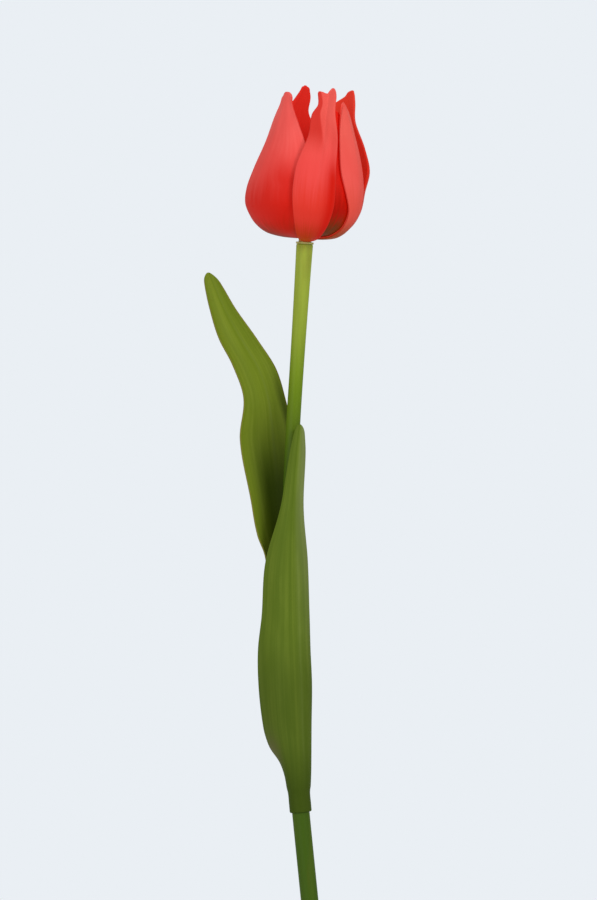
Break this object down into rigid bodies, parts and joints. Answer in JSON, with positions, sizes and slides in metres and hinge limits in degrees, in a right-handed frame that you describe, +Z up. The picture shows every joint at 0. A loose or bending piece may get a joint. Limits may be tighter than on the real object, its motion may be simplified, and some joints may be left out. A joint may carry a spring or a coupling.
{
  "type": "artificial tulip",
  "caption": "Single artificial tulip: a cupped red flower head turning on a wired curved green stem, with sheathing leaves on sleeves that turn round the stem.",
  "frame": {"origin": "centre of the cut end of the stem's straight foot", "axes": "+Z up the straight foot towards the head, +X to the right seen from the front, -Y to the front, where the lower leaf's back is turned outwards"},
  "size_m": [0.0662, 0.0504, 0.4484],
  "materials": {
    "stem": "satin moulded green, paler towards the head",
    "wire": "bare wire seen only at the cut foot",
    "receptacle": "pale yellow green",
    "petal": "soft satin red with a salmon bloom, olive brown at the base",
    "pistil": "pale green",
    "stamen": "dark anthers on pale threads",
    "leaf": "satin olive green with lengthwise streaks"
  },
  "bodies": {
    "stem": {"stem_tube": "stem", "stem_wire": "wire"},
    "head": {"receptacle": "receptacle", "outer_petal_1": "petal", "outer_petal_2": "petal", "outer_petal_3": "petal", "inner_petal_1": "petal", "inner_petal_2": "petal", "inner_petal_3": "petal", "pistil": "pistil", "stamen_1": "stamen", "stamen_2": "stamen", "stamen_3": "stamen", "stamen_4": "stamen", "stamen_5": "stamen", "stamen_6": "stamen"},
    "lower_leaf": {"lower_leaf": "leaf"},
    "upper_leaf": {"upper_leaf": "leaf"}
  },
  "joints": [
    {"name": "head_turn", "type": "hinge", "parent": "stem", "child": "head", "pos_m": [-0.00708, 0, 0.38324], "axis": [0.0645, 0, 0.9979], "continuous": true},
    {"name": "lower_leaf_turn", "type": "hinge", "parent": "stem", "child": "lower_leaf", "pos_m": [-0.00908, 0, 0.15058], "axis": [-0.0901, 0, 0.9959], "range_deg": [-10, 8]},
    {"name": "upper_leaf_turn", "type": "hinge", "parent": "stem", "child": "upper_leaf", "pos_m": [-0.0121, 0, 0.19347], "axis": [-0.0507, 0, 0.9987], "range_deg": [-22, 8]}
  ]
}
